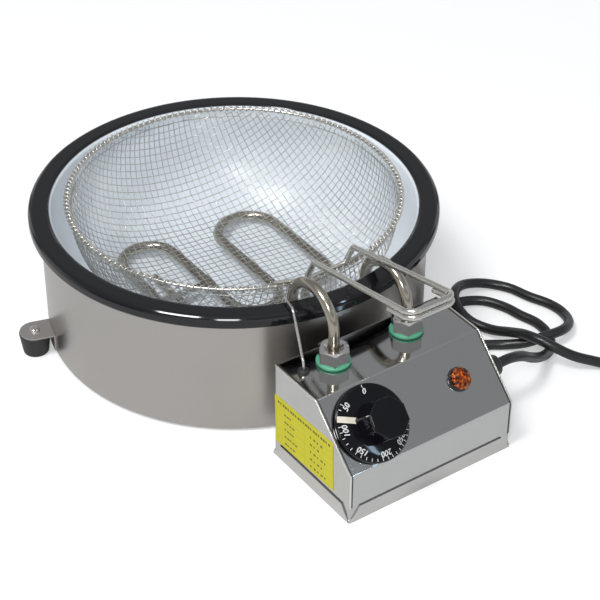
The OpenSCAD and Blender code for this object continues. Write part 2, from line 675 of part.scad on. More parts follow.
module live_wires() {
    color("saddlebrown") wire(block_front + [block_way[0], 0, 0], 26, [leg_x[0], leg_out_y, pin_end_z]);
}

module neutral_wires() {
    color("steelblue") wire(block_front + [block_way[2], 0, 0], 33, [leg_x[1], leg_out_y, pin_end_z]);
}

earth_at = [-52, box_back - 22, 0];
stud_d = 5;
earth_nut_h = 3.6;
earth_wire_z = tray_t + earth_nut_h + snug + wire_d / 2;

module earth_stud() {
    color("silver") translate(earth_at + [0, 0, 0.4]) cylinder(h = 14, d = stud_d, $fn = 32);
}

module earth_nuts() {
    color("lightgray") for (z = [tray_t, earth_wire_z + wire_d / 2 + snug]) translate(earth_at + [0, 0, z])
        difference() {
            hexagon(stud_d + 3, earth_nut_h);
            translate([0, 0, -1]) cylinder(h = earth_nut_h + 2, d = stud_d + 2 * snug, $fn = 32);
        }
}

// The earth wire, from the block's middle way to the stud, where the two nuts hold it.
module earth_wire() {
    x = block_at[0] + block_way[1]; y = block_at[1] + block_size[1] / 2 - 4; back = y + 14; z = earth_wire_z;
    color("yellowgreen") bent_bar([[x, y, z], [x, back, z], [earth_at[0], back, z],
        [earth_at[0], earth_at[1] + stud_d / 2 + snug, z]], [4, 4], wire_d);
}

// ---- cord entry ----

gland_thread_d = gland_d - 4;

module cord_gland() {
    r = gland_d / 2;
    color([0.08, 0.08, 0.08]) translate(gland_at) rotate([0, 90, 0]) rotate_extrude($fn = 64)
        polygon(concat([[lay + snug, -6], [gland_thread_d / 2, -6], [gland_thread_d / 2, 0], [r, 0],
            [r, gland_l * 0.45]], arc([r - 3.4, gland_l - 3.4], 2.4, 10, 90, 5), [[lay + snug, gland_l - 1]]));
}

module gland_nut() {
    color([0.1, 0.1, 0.1]) translate(gland_at - [box_wall + 4.5, 0, 0]) rotate([0, 90, 0]) difference() {
        hexagon(gland_d + 1, 4.5);
        translate([0, 0, -1]) cylinder(h = 7, d = gland_thread_d + 2 * snug);
    }
}

// The end of the cord that the gland grips, stripped behind the nut.
module cord_inner_end() {
    color([0.06, 0.06, 0.06])
        rod(gland_at - [14, 0, 0], [cord_route[0][0], gland_at[1], gland_at[2]], cord_d);
}

// ---- dial ----

module dial_knob() {
    r = dial_d / 2; base = 1.2; top = skirt_h; slope = 1.2;
    color([0.07, 0.07, 0.08]) on_panel(dial_u, dial_v, 0) difference() {
        union() {
            rotate_extrude($fn = 96) polygon(concat([[0, 3.2], [r - 3, 3.2], [r - 2, base], [r - 0.4, base]],
                arc([r - 1.6, top - slope - 1.2], 1.2, 0, 75, 4), [[r - 8, top - 0.4], [0, top]]));
            grip();
        }
        translate([0, 0, -1]) cylinder(h = top + 7, d = spindle_d + 2 * snug);
    }
}

// The knob's faceted grip: a long hexagon that narrows to a ridge.
module grip() {
    hull() {
        translate([0, 0, skirt_h - 1.2]) linear_extrude(0.4)
            polygon([[-grip_l / 2, 0], [-grip_l / 4, -grip_w / 2], [grip_l / 4, -grip_w / 2], [grip_l / 2, 0],
                [grip_l / 4, grip_w / 2], [-grip_l / 4, grip_w / 2]]);
        translate([0, 0, skirt_h + grip_h - 0.4]) linear_extrude(0.4)
            polygon(rounded([[-grip_l * 0.3, -2], [grip_l * 0.3, -2], [grip_l * 0.3, 2], [-grip_l * 0.3, 2]],
                [1.5, 1.5, 1.5, 1.5], 3));
    }
}

module dial_spindle() {
    color("silver") on_panel(dial_u, dial_v, -11) cylinder(h = skirt_h + 16.8, d = spindle_d, $fn = 48);
}

// ---- basket ----

function mesh_skin(t) = concat([[0, mesh_floor + t]], arc(mesh_c, mesh_sweep - t, -90, 0, 20),
    [[mesh_r - t, ring_z - 1.4]]);

module basket_mesh() {
    color([0.8, 0.8, 0.76]) rotate_extrude($fn = 128)
        polygon(concat(mesh_skin(0), reversed(mesh_skin(mesh_t))));
}

module basket_rings() {
    color("silver") {
        translate([0, 0, ring_z]) ring(basket_r - ring_wire_d / 2, ring_wire_d);
        translate([0, 0, ring_z - 6]) ring(mesh_r + ring_wire_d / 2 - 0.3, ring_wire_d - 0.6);
    }
}

// Handle points, from the left foot at the ring, out along the bars and back.
brace_d = 3;
brace_z = ring_z + (ring_wire_d + brace_d) / 2 + snug;
handle_foot_z = brace_z + brace_d / 2 + snug;
handle_top_z = ring_z + handle_rise;
handle_out = [0, -handle_l * cos(handle_tilt), handle_l * sin(handle_tilt)];
handle_shift = [-3.5, 0, 0];
handle_foot = [handle_x, -(basket_r - ring_wire_d / 2), handle_foot_z];
handle_corner = [handle_x, handle_y, handle_top_z];
half_w = [handle_w / 2, 0, 0];
half_end = [handle_end_w / 2, 0, 0];
grip_wire_l = 26;

module basket_handle() {
    end = handle_corner + handle_out + handle_shift;
    color("silver") bent_bar([handle_foot - half_w, handle_corner - half_w, end - half_end, end + half_end,
        handle_corner + half_w, handle_foot + half_w], [5, 8, 8, 5], handle_wire_d);
}

// The second wire, bent round under the handle's end.
module handle_grip_wire() {
    along = unit(handle_out + handle_shift);
    end = handle_corner + handle_out + handle_shift
        - [0, sin(handle_tilt), cos(handle_tilt)] * (handle_wire_d + snug);
    color("silver") bent_bar([end - half_end - along * grip_wire_l, end - half_end, end + half_end,
        end + half_end - along * grip_wire_l], [8, 8], handle_wire_d);
}

// The wire that lies on the ring and carries the handle's uprights.
module handle_brace() {
    r = basket_r - ring_wire_d / 2; xa = handle_x - handle_w / 2; xb = handle_x + handle_w / 2;
    function on_ring(x) = [x, -sqrt(r * r - x * x), brace_z];
    color("silver") bent_bar([on_ring(xa - 24), [xa - 4, -r, brace_z], [xb + 4, -r, brace_z], on_ring(xb + 20)],
        [12, 12], brace_d);
}

// ---- cord ----

module cord_lead() {
    color([0.06, 0.06, 0.06]) swept_tube(cord_route, cord_d);
}

module cord_coil() {
    color([0.06, 0.06, 0.06]) translate([coil_at[0], coil_at[1], 0]) rotate_extrude($fn = 64)
        translate([coil_r - cord_d, 0]) square([2 * cord_d, 2 * cord_d]);
}

// The tail: from the last turn of the coil to the plug.
plug_at = [coil_at[0] + 60, coil_at[1] - coil_r + 2, plug_d / 2];
tail_start = [coil_at[0], coil_at[1] - coil_r, 3 * lay];
cord_tail_route = [tail_start, tail_start + [16, 0.5, 0], tail_start + [32, 1.5, 2], plug_at - [14, 0, 1],
    plug_at - [4, 0, 0], plug_at];

module cord_tail() {
    color([0.06, 0.06, 0.06]) swept_tube(cord_tail_route, cord_d);
}

plug_l = 58;

// The plug lies along +X: tapered relief first, then the round body with its pins.
module plug_body() {
    r = plug_d / 2;
    color([0.07, 0.07, 0.07]) translate(plug_at) rotate([0, 90, 0]) rotate_extrude($fn = 64)
        polygon([[0, 0], [cord_d / 2 + 1, 0], [cord_d / 2 + 3, plug_l - 34], [r - 9, plug_l - 30],
            [r - 4, plug_l - 22], [r, plug_l - 14], [r, plug_l - 2], [r - 2, plug_l], [0, plug_l]]);
}

module plug_pins() {
    color("silver") for (s = [-1, 1]) translate(plug_at + [plug_l, s * 9.5, 0]) rotate([0, 90, 0])
        rotate_extrude($fn = 32)
            polygon(concat([[0, 0], [2.4, 0], [2.4, 17.5]], arc([0.4, 17.5], 2, 0, 90, 3), [[0, 19.5]]));
}

jacket_shell();
base_plate();
base_screws();
foot_brackets();
rubber_feet();
foot_screws();
bowl();
box_shell();
box_tray();
tray_screws();
element_tube();
element_fittings();
element_gaskets();
element_locknuts();
element_insulators();
element_pins();
thermostat_body();
thermostat_screws();
capillary_tube();
sensor_bulb();
bulb_bracket();
capillary_grommet();
lamp_body();
lamp_bezel();
lamp_lens();
terminal_block();
terminal_screws();
live_wires();
neutral_wires();
earth_stud();
earth_nuts();
earth_wire();
cord_gland();
gland_nut();
cord_inner_end();
dial_knob();
dial_spindle();
basket_mesh();
basket_rings();
basket_handle();
handle_grip_wire();
handle_brace();
cord_lead();
cord_coil();
cord_tail();
plug_body();
plug_pins();
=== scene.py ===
# %% [markdown]
# Deep fryer: a round steel jacket with an enamelled bowl, a control box that hooks over the rim, and a
# wire basket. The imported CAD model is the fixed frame. Its nodes keep their shape wherever they are right
# and only get a finish; the woven cloth, the cord, the label and the dial's print are made here.

# %% Load the frame
import math
import bmesh
import bpy
from mathutils import Matrix, Quaternion, Vector


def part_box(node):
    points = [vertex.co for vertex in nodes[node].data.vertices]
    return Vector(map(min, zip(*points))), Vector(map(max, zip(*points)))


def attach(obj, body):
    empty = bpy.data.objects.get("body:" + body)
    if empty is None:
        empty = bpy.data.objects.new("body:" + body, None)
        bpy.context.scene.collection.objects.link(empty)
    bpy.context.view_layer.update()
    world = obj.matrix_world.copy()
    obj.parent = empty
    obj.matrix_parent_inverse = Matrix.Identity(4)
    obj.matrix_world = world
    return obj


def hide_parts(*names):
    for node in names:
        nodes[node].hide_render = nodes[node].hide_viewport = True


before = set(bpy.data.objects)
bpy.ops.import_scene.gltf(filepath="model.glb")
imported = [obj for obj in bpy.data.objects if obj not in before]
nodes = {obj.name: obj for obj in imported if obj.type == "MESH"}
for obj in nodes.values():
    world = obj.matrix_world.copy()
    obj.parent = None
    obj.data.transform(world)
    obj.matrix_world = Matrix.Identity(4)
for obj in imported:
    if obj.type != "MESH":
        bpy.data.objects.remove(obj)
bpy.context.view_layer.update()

mm = 0.001

# %% [markdown]
# The camera looks down at the fryer from the front left, with a long lens, so that upright edges stay
# almost parallel. Aiming is done with a direction vector; a small roll turns the view about that line.

# %% Camera
camera = bpy.data.objects.new("camera", bpy.data.cameras.new("camera"))
bpy.context.collection.objects.link(camera)
camera.data.lens, camera.data.sensor_width = 108.0, 36.0
camera.data.clip_end = 20.0
camera_at = Vector((-665.05, -1031.58, 900.89)) * mm
aim = Vector((53.82, -16.86, 0.0)) * mm
camera.location = camera_at
look = (aim - camera_at).to_track_quat("-Z", "Y")
camera.rotation_mode = "QUATERNION"
camera.rotation_quaternion = look @ Quaternion((0, 0, 1), math.radians(0.42))
bpy.context.scene.camera = camera
bpy.context.scene.view_settings.view_transform = "Standard"
print("camera at", tuple(camera.location))

# %% [markdown]
# Small helpers come first. A bmesh is built with operators and handed to `piece`, which makes the object,
# puts it on its body and gives it its finish. Objects stay at the origin, so their place is in the mesh.

# %% Helpers for pieces


def piece(name, bm, body, material, smooth=True):
    mesh = bpy.data.meshes.new(name)
    bm.to_mesh(mesh)
    bm.free()
    obj = bpy.data.objects.new(name, mesh)
    bpy.context.collection.objects.link(obj)
    mesh.materials.append(material)
    for face in mesh.polygons:
        face.use_smooth = smooth
    if smooth:
        mesh.set_sharp_from_angle(angle=math.radians(34))
    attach(obj, body)
    return obj


def lathe(profile, steps, place, ring=False):
    """A turned form: the profile, as radius and height in millimetres, is spun about Z and then placed."""
    bm = bmesh.new()
    verts = [bm.verts.new((r * mm, 0, z * mm)) for r, z in profile]
    edges = [bm.edges.new(pair) for pair in zip(verts, verts[1:] + verts[:1] if ring else verts[1:])]
    bmesh.ops.spin(bm, geom=verts + edges, cent=(0, 0, 0), axis=(0, 0, 1), angle=2 * math.pi, steps=steps,
                   use_merge=True)
    bmesh.ops.remove_doubles(bm, verts=bm.verts, dist=1e-6)
    bmesh.ops.recalc_face_normals(bm, faces=bm.faces)
    bmesh.ops.transform(bm, matrix=place, verts=bm.verts)
    return bm


def join(target, source):
    """Adds one bmesh to another and frees it."""
    mesh = bpy.data.meshes.new("part")
    source.to_mesh(mesh)
    source.free()
    target.from_mesh(mesh)
    bpy.data.meshes.remove(mesh)


# %% [markdown]
# Wires, hoops and the cord are curves: a line of points with a round bevel is light and stays smooth. Where
# a line has few points, `smooth_line` puts more between them.

# %% Helpers for lines


def wire_piece(name, lines, diameter, body, material, cyclic=False, sides=4):
    """Many thin wires as one curve with a round bevel, in its own place."""
    curve = bpy.data.curves.new(name, "CURVE")
    curve.dimensions = "3D"
    curve.bevel_depth = diameter / 2
    curve.bevel_resolution = max(0, sides // 2 - 2)
    curve.use_fill_caps = not cyclic
    for line in lines:
        spline = curve.splines.new("POLY")
        spline.points.add(len(line) - 1)
        for point, at in zip(spline.points, line):
            point.co = (*at, 1.0)
        spline.use_cyclic_u = cyclic
        spline.use_smooth = True
    obj = bpy.data.objects.new(name, curve)
    bpy.context.collection.objects.link(obj)
    curve.materials.append(material)
    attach(obj, body)
    return obj


def smooth_line(points, steps):
    """A Catmull-Rom curve through the points."""
    out = []
    for i in range(len(points) - 1):
        p0, p1, p2 = points[max(i - 1, 0)], points[i], points[i + 1]
        p3 = points[min(i + 2, len(points) - 1)]
        for k in range(steps):
            t = k / steps
            out.append(0.5 * (2 * p1 + (p2 - p0) * t + (2 * p0 - 5 * p1 + 4 * p2 - p3) * t * t
                              + (3 * p1 - p0 - 3 * p2 + p3) * t ** 3))
    out.append(points[-1])
    return out


# %% [markdown]
# Finishes are built from nodes. `new_finish` makes a plain one, which every other one starts from.

# %% Helpers for finishes


def socket(group, name, direction, kind="NodeSocketFloat", value=None):
    made = group.interface.new_socket(name=name, in_out=direction, socket_type=kind)
    if value is not None:
        made.default_value = value
    return made


def add(tree, kind, **settings):
    node = tree.nodes.new(kind)
    for key, value in settings.items():
        setattr(node, key, value)
    return node


def new_finish(name, color, roughness, metallic=0.0, **plain):
    material = bpy.data.materials.new(name)
    material.use_nodes = True
    shader = material.node_tree.nodes["Principled BSDF"]
    shader.inputs["Base Color"].default_value = (*color, 1)
    shader.inputs["Roughness"].default_value = roughness
    shader.inputs["Metallic"].default_value = metallic
    for key, value in plain.items():
        shader.inputs[key.replace("_", " ")].default_value = value
    return material


# %% [markdown]
# Effects that several finishes share are node groups. The first, `brushing`, gives the fine parallel
# scratches of rolled and brushed sheet: a noise that is stretched along one direction drives a small bump.

# %% Brushing group


def brushing_group():
    group = bpy.data.node_groups.new("brushing", "ShaderNodeTree")
    socket(group, "Vector", "INPUT", "NodeSocketVector")
    socket(group, "Scale", "INPUT", value=900.0)
    socket(group, "Strength", "INPUT", value=0.1)
    socket(group, "Lines", "OUTPUT")
    socket(group, "Normal", "OUTPUT", "NodeSocketVector")
    ends = add(group, "NodeGroupInput"), add(group, "NodeGroupOutput")
    noise = add(group, "ShaderNodeTexNoise")
    noise.inputs["Detail"].default_value = 3.0
    bump = add(group, "ShaderNodeBump")
    bump.inputs["Distance"].default_value = 0.00005
    link = group.links.new
    link(ends[0].outputs["Vector"], noise.inputs["Vector"])
    link(ends[0].outputs["Scale"], noise.inputs["Scale"])
    link(noise.outputs["Fac"], bump.inputs["Height"])
    link(ends[0].outputs["Strength"], bump.inputs["Strength"])
    link(noise.outputs["Fac"], ends[1].inputs["Lines"])
    link(bump.outputs["Normal"], ends[1].inputs["Normal"])
    return group


brushing = brushing_group()
print("node group:", brushing.name)

# %% [markdown]
# The second group, `handling`, gives the faint smudges and wear that a used surface picks up. One noise
# mixes two colours and moves the roughness at the same time, so a dull patch is also the one that differs.

# %% Handling group


def handling_group():
    group = bpy.data.node_groups.new("handling", "ShaderNodeTree")
    socket(group, "Base Color", "INPUT", "NodeSocketColor")
    socket(group, "Worn Color", "INPUT", "NodeSocketColor")
    socket(group, "Roughness", "INPUT", value=0.3)
    socket(group, "Amount", "INPUT", value=0.1)
    socket(group, "Scale", "INPUT", value=30.0)
    socket(group, "Color", "OUTPUT", "NodeSocketColor")
    socket(group, "Roughness Out", "OUTPUT")
    ends = add(group, "NodeGroupInput"), add(group, "NodeGroupOutput")
    place = add(group, "ShaderNodeTexCoord")
    noise = add(group, "ShaderNodeTexNoise")
    noise.inputs["Detail"].default_value = 5.0
    noise.inputs["Roughness"].default_value = 0.62
    mix = add(group, "ShaderNodeMix", data_type="RGBA")
    spread = add(group, "ShaderNodeMath", operation="SUBTRACT")
    spread.inputs[1].default_value = 0.5
    scaled = add(group, "ShaderNodeMath", operation="MULTIPLY")
    rough = add(group, "ShaderNodeMath", operation="ADD", use_clamp=True)
    link = group.links.new
    link(place.outputs["Object"], noise.inputs["Vector"])
    link(ends[0].outputs["Scale"], noise.inputs["Scale"])
    link(noise.outputs["Fac"], mix.inputs["Factor"])
    link(ends[0].outputs["Base Color"], mix.inputs["A"])
    link(ends[0].outputs["Worn Color"], mix.inputs["B"])
    link(mix.outputs["Result"], ends[1].inputs["Color"])
    link(noise.outputs["Fac"], spread.inputs[0])
    link(spread.outputs[0], scaled.inputs[0])
    link(ends[0].outputs["Amount"], scaled.inputs[1])
    link(scaled.outputs[0], rough.inputs[0])
    link(ends[0].outputs["Roughness"], rough.inputs[1])
    link(rough.outputs[0], ends[1].inputs["Roughness Out"])
    return group


handling = handling_group()
print("node group:", handling.name)

# %% [markdown]
# A worn finish has the handling group in front of its colour and roughness. Brushing is added to the sheet
# steels afterwards, along one direction.

# %% Worn and brushed finishes


def worn_finish(name, color, worn, roughness, change, scale, metallic=0.0, **plain):
    """A finish that is clean and worn in patches; change is how far they move the roughness."""
    material = new_finish(name, color, roughness, metallic, **plain)
    tree = material.node_tree
    shader = tree.nodes["Principled BSDF"]
    node = add(tree, "ShaderNodeGroup", node_tree=handling)
    node.inputs["Base Color"].default_value = (*color, 1)
    node.inputs["Worn Color"].default_value = (*worn, 1)
    node.inputs["Roughness"].default_value = roughness
    node.inputs["Amount"].default_value = change
    node.inputs["Scale"].default_value = scale
    tree.links.new(node.outputs["Color"], shader.inputs["Base Color"])
    tree.links.new(node.outputs["Roughness Out"], shader.inputs["Roughness"])
    return material


def brushed(material, stretch, scale, strength):
    """Adds brushing along one direction: stretch scales Object coordinates along X, Y and Z."""
    tree = material.node_tree
    shader = tree.nodes["Principled BSDF"]
    place = add(tree, "ShaderNodeTexCoord")
    mapping = add(tree, "ShaderNodeMapping")
    mapping.inputs["Scale"].default_value = stretch
    node = add(tree, "ShaderNodeGroup", node_tree=brushing)
    node.inputs["Scale"].default_value = scale
    node.inputs["Strength"].default_value = strength
    tree.links.new(place.outputs["Object"], mapping.inputs["Vector"])
    tree.links.new(mapping.outputs["Vector"], node.inputs["Vector"])
    tree.links.new(node.outputs["Normal"], shader.inputs["Normal"])


# %% [markdown]
# Every material of the fryer is one line here: clean colour, worn colour, roughness, its change and the
# scale of the wear.

# %% Materials of the fryer
jacket_steel = worn_finish("jacket_steel", (0.49, 0.465, 0.445), (0.45, 0.43, 0.41), 0.3, 0.14, 14.0,
                           metallic=1.0)
brushed(jacket_steel, (0.02, 0.02, 1.0), 1400.0, 0.3)
box_steel = worn_finish("box_steel", (0.58, 0.58, 0.575), (0.53, 0.53, 0.525), 0.09, 0.08, 26.0,
                        metallic=1.0)
brushed(box_steel, (0.03, 1.0, 1.0), 1500.0, 0.07)
tray_steel = worn_finish("tray_steel", (0.62, 0.61, 0.6), (0.55, 0.54, 0.53), 0.15, 0.1, 30.0, metallic=1.0)
zinc = worn_finish("zinc", (0.82, 0.81, 0.79), (0.62, 0.6, 0.57), 0.12, 0.14, 160.0, metallic=1.0)
element_steel = worn_finish("element_steel", (0.48, 0.44, 0.38), (0.32, 0.29, 0.24), 0.22, 0.16, 60.0,
                            metallic=1.0)
bracket_steel = worn_finish("bracket_steel", (0.56, 0.52, 0.5), (0.44, 0.41, 0.395), 0.5, 0.15, 80.0,
                            metallic=1.0)
wire_steel = worn_finish("wire_steel", (0.7, 0.69, 0.65), (0.52, 0.5, 0.45), 0.26, 0.15, 90.0, metallic=1.0)
cloth_steel = worn_finish("cloth_steel", (0.66, 0.66, 0.65), (0.5, 0.495, 0.48), 0.34, 0.2, 60.0,
                          metallic=1.0)
# painted highlight: a lighter steel than the box and the cloth, used for the bright lines along the box's
# folds and the basket's wound edge
painted_highlight_steel = worn_finish("painted_highlight_steel", (0.9, 0.88, 0.84), (0.7, 0.67, 0.6), 0.3, 0.2, 60.0, metallic=1.0)
black_rubber = worn_finish("black_rubber", (0.012, 0.012, 0.013), (0.024, 0.024, 0.025), 0.5, 0.2, 90.0)
black_moulding = worn_finish("black_moulding", (0.012, 0.012, 0.013), (0.03, 0.03, 0.03), 0.35, 0.15, 80.0)
gloss_black = worn_finish("gloss_black", (0.003, 0.003, 0.005), (0.007, 0.007, 0.009), 0.06, 0.06, 60.0,
                          Specular_IOR_Level=0.28)
cord_sheath = worn_finish("cord_sheath", (0.008, 0.008, 0.009), (0.02, 0.02, 0.021), 0.32, 0.15, 70.0)
gasket_green = worn_finish("gasket_green", (0.05, 0.3, 0.17), (0.12, 0.4, 0.26), 0.4, 0.2, 150.0)
white_ceramic = worn_finish("white_ceramic", (0.82, 0.8, 0.76), (0.7, 0.68, 0.62), 0.4, 0.1, 80.0)
print_white = worn_finish("print_white", (0.82, 0.82, 0.83), (0.6, 0.6, 0.62), 0.45, 0.1, 300.0)
pointer_cream = worn_finish("pointer_cream", (0.85, 0.82, 0.74), (0.62, 0.56, 0.42), 0.35, 0.1, 160.0)
plate_yellow = worn_finish("plate_yellow", (0.61, 0.56, 0.02), (0.56, 0.51, 0.02), 0.48, 0.1, 60.0,
                           Specular_IOR_Level=0.25)
plate_ink = worn_finish("plate_ink", (0.08, 0.08, 0.02), (0.2, 0.19, 0.03), 0.5, 0.1, 400.0,
                        Specular_IOR_Level=0.2)
plate_rule = worn_finish("plate_rule", (0.42, 0.39, 0.03), (0.5, 0.47, 0.03), 0.5, 0.1, 300.0,
                         Specular_IOR_Level=0.2)
brown_sleeve = worn_finish("brown_sleeve", (0.16, 0.06, 0.025), (0.2, 0.09, 0.04), 0.4, 0.1, 80.0)
blue_sleeve = worn_finish("blue_sleeve", (0.03, 0.1, 0.4), (0.06, 0.15, 0.5), 0.4, 0.1, 80.0)
green_sleeve = worn_finish("green_sleeve", (0.2, 0.42, 0.05), (0.5, 0.55, 0.05), 0.4, 0.1, 80.0)
print("materials so far:", len(bpy.data.materials))

# %% [markdown]
# The lamp's lens is moulded with prisms that break up what is behind it, so it looks like glowing and dark
# specks of amber side by side. A noise with a steep ramp paints those specks into the colour as painted
# light and painted shade, without a lamp inside.

# %% Amber lens finish


def amber_finish():
    material = new_finish("amber", (0.4, 0.09, 0.01), 0.1, Specular_IOR_Level=0.4)
    tree = material.node_tree
    place = add(tree, "ShaderNodeTexCoord")
    noise = add(tree, "ShaderNodeTexNoise")
    noise.inputs["Scale"].default_value = 420.0
    noise.inputs["Detail"].default_value = 2.0
    # painted light and shade: the bright stop stands for light broken up by the prisms, the dark stop for
    # the shade between them
    ramp = add(tree, "ShaderNodeValToRGB")
    painted_shade_stop, painted_glow_stop = ramp.color_ramp.elements
    painted_shade_stop.position, painted_shade_stop.color = 0.4, (0.03, 0.006, 0.002, 1)
    painted_glow_stop.position, painted_glow_stop.color = 0.7, (0.8, 0.18, 0.005, 1)
    ramp.color_ramp.elements.new(0.55).color = (0.28, 0.045, 0.002, 1)
    tree.links.new(place.outputs["Object"], noise.inputs["Vector"])
    tree.links.new(noise.outputs["Fac"], ramp.inputs["Fac"])
    tree.links.new(ramp.outputs["Color"], tree.nodes["Principled BSDF"].inputs["Base Color"])
    return material


amber = amber_finish()
print("lens finish:", amber.name)

# %% [markdown]
# Enamel: the bowl is one steel pressing, pale inside and black on its rim. The colour and the gloss change
# along a ring, so they are masked by the distance from the bowl's axis, taken from Object coordinates.

# %% Enamel finish
black_from, black_full = 148.6, 149.4


def enamel_finish():
    material = new_finish("enamel", (0.8, 0.86, 0.93), 0.28)
    tree = material.node_tree
    shader = tree.nodes["Principled BSDF"]
    place = add(tree, "ShaderNodeTexCoord")
    split = add(tree, "ShaderNodeSeparateXYZ")
    flat = add(tree, "ShaderNodeCombineXYZ")
    reach = add(tree, "ShaderNodeVectorMath", operation="LENGTH")
    edge = add(tree, "ShaderNodeMapRange")
    edge.inputs["From Min"].default_value = black_from * mm
    edge.inputs["From Max"].default_value = black_full * mm
    noise = add(tree, "ShaderNodeTexNoise")
    noise.inputs["Scale"].default_value = 40.0
    pale = add(tree, "ShaderNodeMix", data_type="RGBA")
    pale.inputs["A"].default_value = (0.79, 0.845, 0.9, 1)
    pale.inputs["B"].default_value = (0.86, 0.905, 0.95, 1)
    mix = add(tree, "ShaderNodeMix", data_type="RGBA")
    mix.inputs["B"].default_value = (0.006, 0.006, 0.008, 1)
    gloss = add(tree, "ShaderNodeMix", data_type="FLOAT")
    gloss.inputs["A"].default_value, gloss.inputs["B"].default_value = 0.28, 0.07
    link = tree.links.new
    link(edge.outputs[0], gloss.inputs["Factor"])
    link(gloss.outputs["Result"], shader.inputs["Roughness"])
    link(place.outputs["Object"], split.inputs[0])
    link(split.outputs["X"], flat.inputs["X"])
    link(split.outputs["Y"], flat.inputs["Y"])
    link(flat.outputs[0], reach.inputs[0])
    link(reach.outputs["Value"], edge.inputs["Value"])
    link(place.outputs["Object"], noise.inputs["Vector"])
    link(noise.outputs["Fac"], pale.inputs["Factor"])
    link(edge.outputs[0], mix.inputs["Factor"])
    link(pale.outputs["Result"], mix.inputs["A"])
    link(mix.outputs["Result"], shader.inputs["Base Color"])
    return material


enamel = enamel_finish()
print("enamel turns black at", black_from, "to", black_full, "mm")

# %% [markdown]
# Each CAD node that keeps its shape gets its finish here. The ones that a piece stands for get one too.

# %% Give the CAD nodes their finishes
finish_of = {
    "jacket_shell": jacket_steel, "base_plate": tray_steel, "base_screws": zinc,
    "foot_brackets": bracket_steel, "rubber_feet": black_rubber, "foot_screws": zinc, "bowl": enamel,
    "box_shell": box_steel, "box_tray": tray_steel, "tray_screws": zinc, "element_tube": element_steel,
    "element_fittings": zinc, "element_gaskets": gasket_green, "element_locknuts": zinc,
    "element_insulators": white_ceramic, "element_pins": zinc, "thermostat_body": white_ceramic,
    "thermostat_screws": zinc, "capillary_tube": zinc, "sensor_bulb": element_steel,
    "bulb_bracket": tray_steel, "capillary_grommet": black_rubber, "lamp_body": black_moulding,
    "lamp_bezel": black_moulding, "lamp_lens": amber, "terminal_block": white_ceramic,
    "terminal_screws": zinc, "live_wires": brown_sleeve, "neutral_wires": blue_sleeve,
    "earth_stud": zinc, "earth_nuts": zinc, "earth_wire": green_sleeve, "cord_gland": black_moulding,
    "gland_nut": black_moulding, "cord_inner_end": cord_sheath, "dial_knob": gloss_black,
    "dial_spindle": zinc, "basket_mesh": cloth_steel, "basket_rings": wire_steel,
    "basket_handle": wire_steel, "handle_brace": wire_steel, "handle_grip_wire": wire_steel,
    "cord_lead": cord_sheath, "cord_coil": cord_sheath, "cord_tail": cord_sheath,
    "plug_body": black_moulding, "plug_pins": zinc,
}
for name, node in nodes.items():
    node.data.materials.clear()
    node.data.materials.append(finish_of[name])
print("finishes on", len(nodes), "nodes")

# %% [markdown]
# The cord is a 1.5 m lead. It leaves the gland, drops to the table, lies in two loose loops and goes on to
# a stored coil with the plug beside it. These are the points of its middle line, in millimetres.

# %% Cord route
cord_diameter = 8.4
lay = cord_diameter / 2
cord_points = [(93.9, -225, 47), (106, -225, 47), (120.5, -223, 41.5), (136, -218, 30),
               (155, -209, 16.5), (172, -200, 8), (184.5, -189.5, lay), (192.5, -176, lay),
               (194.5, -160, lay), (190.5, -144.5, lay), (187, -128, lay), (178, -111, lay),
               (162, -101.5, lay), (146, -102, lay), (133, -109.5, lay), (125.5, -122, lay),
               (124.5, -138, lay), (133, -154, lay), (151, -167, lay), (165, -180, 8.5),
               (180.5, -187, 13), (198, -187.5, 12), (213.5, -179, 7.5), (222, -164, lay),
               (221.5, -147, lay), (214, -128, lay), (207.5, -107.5, lay), (192.5, -92.5, 6),
               (173, -89.5, 10.5), (157.5, -97, 13.5), (148, -111, 12.5), (147, -129.5, 8),
               (154.5, -148.5, 7), (160, -167.5, 13.5), (160, -184.5, 21.5), (165, -202, 22.5),
               (179.5, -219.5, 14), (198, -231, 6.5), (212, -248, lay), (216, -267, lay)]
coil_x, coil_y, coil_r = 262.0, -286.0, 46.0
turns, per_turn = 2.25, 24
beside = 4.4


def coil_points():
    """Turns that lie beside and on each other, from the outer left, ending below, where the tail leaves."""
    out = []
    for k in range(1, int(turns * per_turn) + 1):
        turn = k / per_turn
        angle = math.pi + 2 * math.pi * turn
        radius = coil_r + (beside if turn < 0.9 else -beside if turn < 1.9 else 0.0)
        rise = 0.0 if turn < 1.7 else cord_diameter * min(1, (turn - 1.7) / 0.5)
        if 0.8 < turn < 1.0:
            radius = coil_r + beside - 2 * beside * (turn - 0.8) / 0.2
        if 1.75 < turn < 2.1:
            radius = coil_r - beside + beside * (turn - 1.75) / 0.35
        out.append((coil_x + radius * math.cos(angle), coil_y + radius * math.sin(angle), lay + rise))
    return out


tail_points = [(coil_x + 16, coil_y - coil_r + 0.5, 12.6), (coil_x + 32, coil_y - coil_r + 1.5, 14.6),
               (coil_x + 46, coil_y - coil_r + 2, 18), (coil_x + 56, coil_y - coil_r + 2, 19),
               (coil_x + 60, coil_y - coil_r + 2, 19)]
route = cord_points + coil_points() + tail_points
print("cord route:", len(route), "points")

# %% [markdown]
# One curve carries the cord's whole length, so no joint shows. No point of it dips below the table.

# %% Cord
cord_path = smooth_line([Vector(p) * mm for p in route], 4)
cord_path = [Vector((p.x, p.y, max(p.z, lay * mm))) for p in cord_path]
cord = wire_piece("mains_cord", [cord_path], cord_diameter * mm, "head", cord_sheath,
                  sides=12)
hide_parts("cord_lead", "cord_coil", "cord_tail")

# %% [markdown]
# A strap holds the coil's turns together. It is a flattened ring round the bundle, with a small wall.

